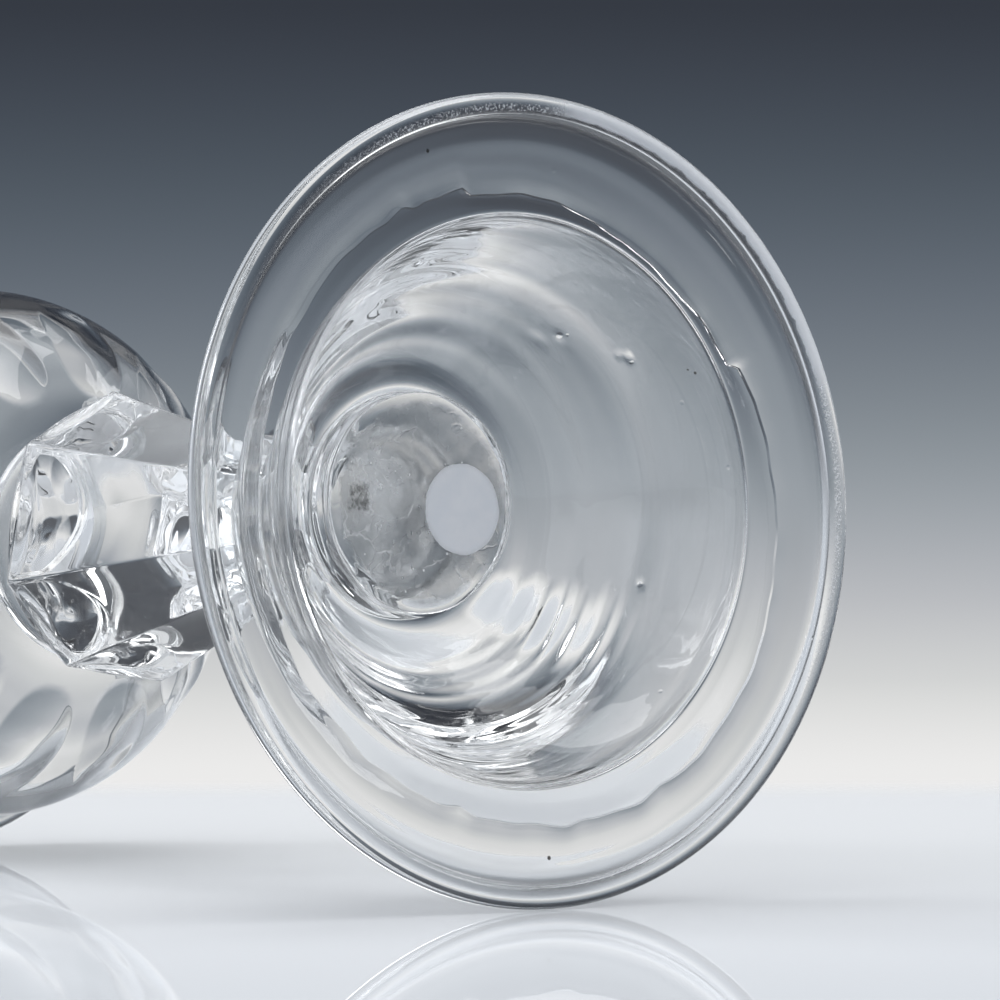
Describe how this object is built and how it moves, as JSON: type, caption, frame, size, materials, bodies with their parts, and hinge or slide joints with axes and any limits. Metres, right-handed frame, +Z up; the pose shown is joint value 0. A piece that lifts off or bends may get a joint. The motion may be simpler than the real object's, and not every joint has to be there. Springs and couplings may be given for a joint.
{
  "type": "sweetmeat glass",
  "caption": "Clear lead-glass sweetmeat glass: petal-moulded bowl on a faceted pedestal stem with collar discs, over a domed foot with a folded rim and a pontil scar.",
  "frame": {"origin": "centre of the foot's resting ring, in the plane that the glass stands on", "axes": "+Z up the axis from the foot to the bowl's rim; +X and +Y level, the glass being round about +Z"},
  "size_m": [0.11, 0.11, 0.165],
  "materials": {
    "lead_glass": "clear soft-grey lead glass, fire polished, with fine swirls, seeds and a worn resting ring",
    "broken_glass": "rough snapped glass left by the pontil rod",
    "label_paper": "matt pale bluish-white paper, bare"
  },
  "bodies": {
    "root": {"foot": "lead_glass", "pontil_scar": "broken_glass", "label": "label_paper", "stem_collar": "lead_glass", "stem": "lead_glass", "bowl_collar": "lead_glass", "bowl": "lead_glass"}
  },
  "joints": []
}
